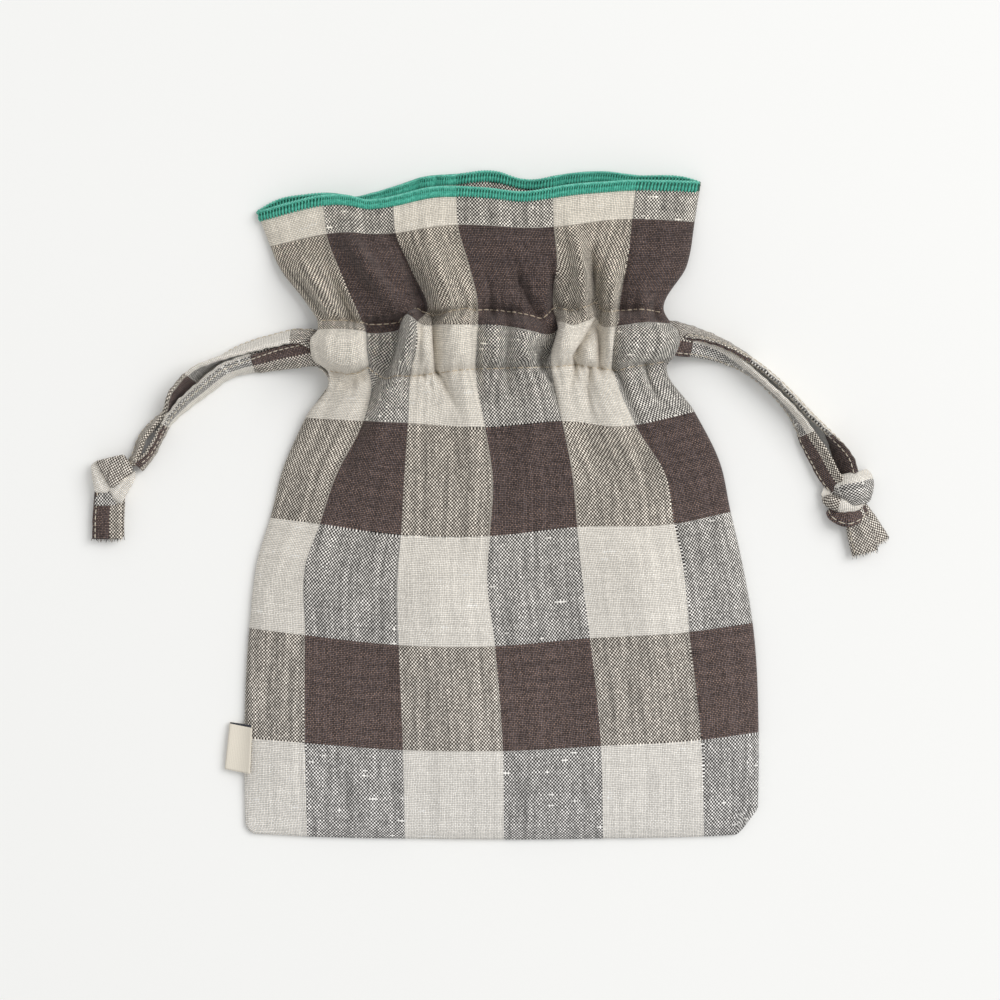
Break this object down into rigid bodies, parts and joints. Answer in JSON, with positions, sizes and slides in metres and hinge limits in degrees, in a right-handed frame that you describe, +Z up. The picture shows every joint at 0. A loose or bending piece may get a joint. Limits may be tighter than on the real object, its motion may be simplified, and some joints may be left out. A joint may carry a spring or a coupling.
{
  "type": "drawstring pouch",
  "caption": "Flat checked-linen pouch with a gathered casing, a flared overlocked mouth and a knotted tape drawstring leaving each side.",
  "frame": {"origin": "on the surface under the back panel, midway between the bottom seam and the mouth edge and between the side seams", "axes": "+Z up out of the surface that the pouch lies on, +Y along the pouch from the bottom seam to the mouth, +X to the right seen from the front"},
  "size_m": [0.3158, 0.2643, 0.0162],
  "materials": {
    "checked_linen": "plain-woven slubby linen in a two-colour block check",
    "linen_tape": "folded and edge-stitched tape of the same linen",
    "edging_thread": "woolly overlock thread, slightly glossy",
    "stitch_thread": "spun sewing thread",
    "label_ribbon": "close-woven cotton ribbon, bare"
  },
  "bodies": {
    "pouch": {"back_panel": "checked_linen", "front_panel": "checked_linen", "front_casing_strip": "checked_linen", "back_casing_strip": "checked_linen", "left_side_seam": "checked_linen", "right_side_seam": "checked_linen", "bottom_seam": "checked_linen", "left_collar_seam": "checked_linen", "right_collar_seam": "checked_linen", "back_mouth_edging": "edging_thread", "front_upper_stitch_row": "stitch_thread", "front_lower_stitch_row": "stitch_thread", "back_upper_stitch_row": "stitch_thread", "back_lower_stitch_row": "stitch_thread", "left_drawstring_turn": "linen_tape", "right_drawstring_turn": "linen_tape"},
    "front_collar": {"front_collar": "checked_linen", "front_mouth_edging": "edging_thread"},
    "left_drawstring": {"left_front_run": "linen_tape", "left_back_run": "linen_tape"},
    "left_tie": {"left_front_strand": "linen_tape", "left_back_strand": "linen_tape", "left_knot": "linen_tape", "left_front_tail": "linen_tape", "left_back_tail": "linen_tape"},
    "right_drawstring": {"right_front_run": "linen_tape", "right_back_run": "linen_tape"},
    "right_tie": {"right_front_strand": "linen_tape", "right_back_strand": "linen_tape", "right_knot": "linen_tape", "right_front_tail": "linen_tape", "right_back_tail": "linen_tape"},
    "label": {"side_label": "label_ribbon"}
  },
  "joints": [
    {"name": "mouth_open", "type": "hinge", "parent": "pouch", "child": "front_collar", "pos_m": [0, 0.0784, 0.0152], "axis": [1, 0, 0], "range_deg": [0, 45]},
    {"name": "left_pull", "type": "slide", "parent": "pouch", "child": "left_drawstring", "axis": [-1, 0, 0], "range_m": [0, 0.06]},
    {"name": "left_swing", "type": "hinge", "parent": "left_drawstring", "child": "left_tie", "pos_m": [-0.0781, 0.06235, 0.0085], "axis": [0, 0, 1], "range_deg": [-45, 25]},
    {"name": "right_pull", "type": "slide", "parent": "pouch", "child": "right_drawstring", "axis": [1, 0, 0], "range_m": [0, 0.06]},
    {"name": "right_swing", "type": "hinge", "parent": "right_drawstring", "child": "right_tie", "pos_m": [0.0781, 0.07165, 0.0085], "axis": [0, 0, 1], "range_deg": [-15, 45]},
    {"name": "label_flip", "type": "hinge", "parent": "pouch", "child": "label", "pos_m": [-0.10103, -0.09125, 0.0017], "axis": [0, 1, 0], "range_deg": [0, 100]}
  ]
}
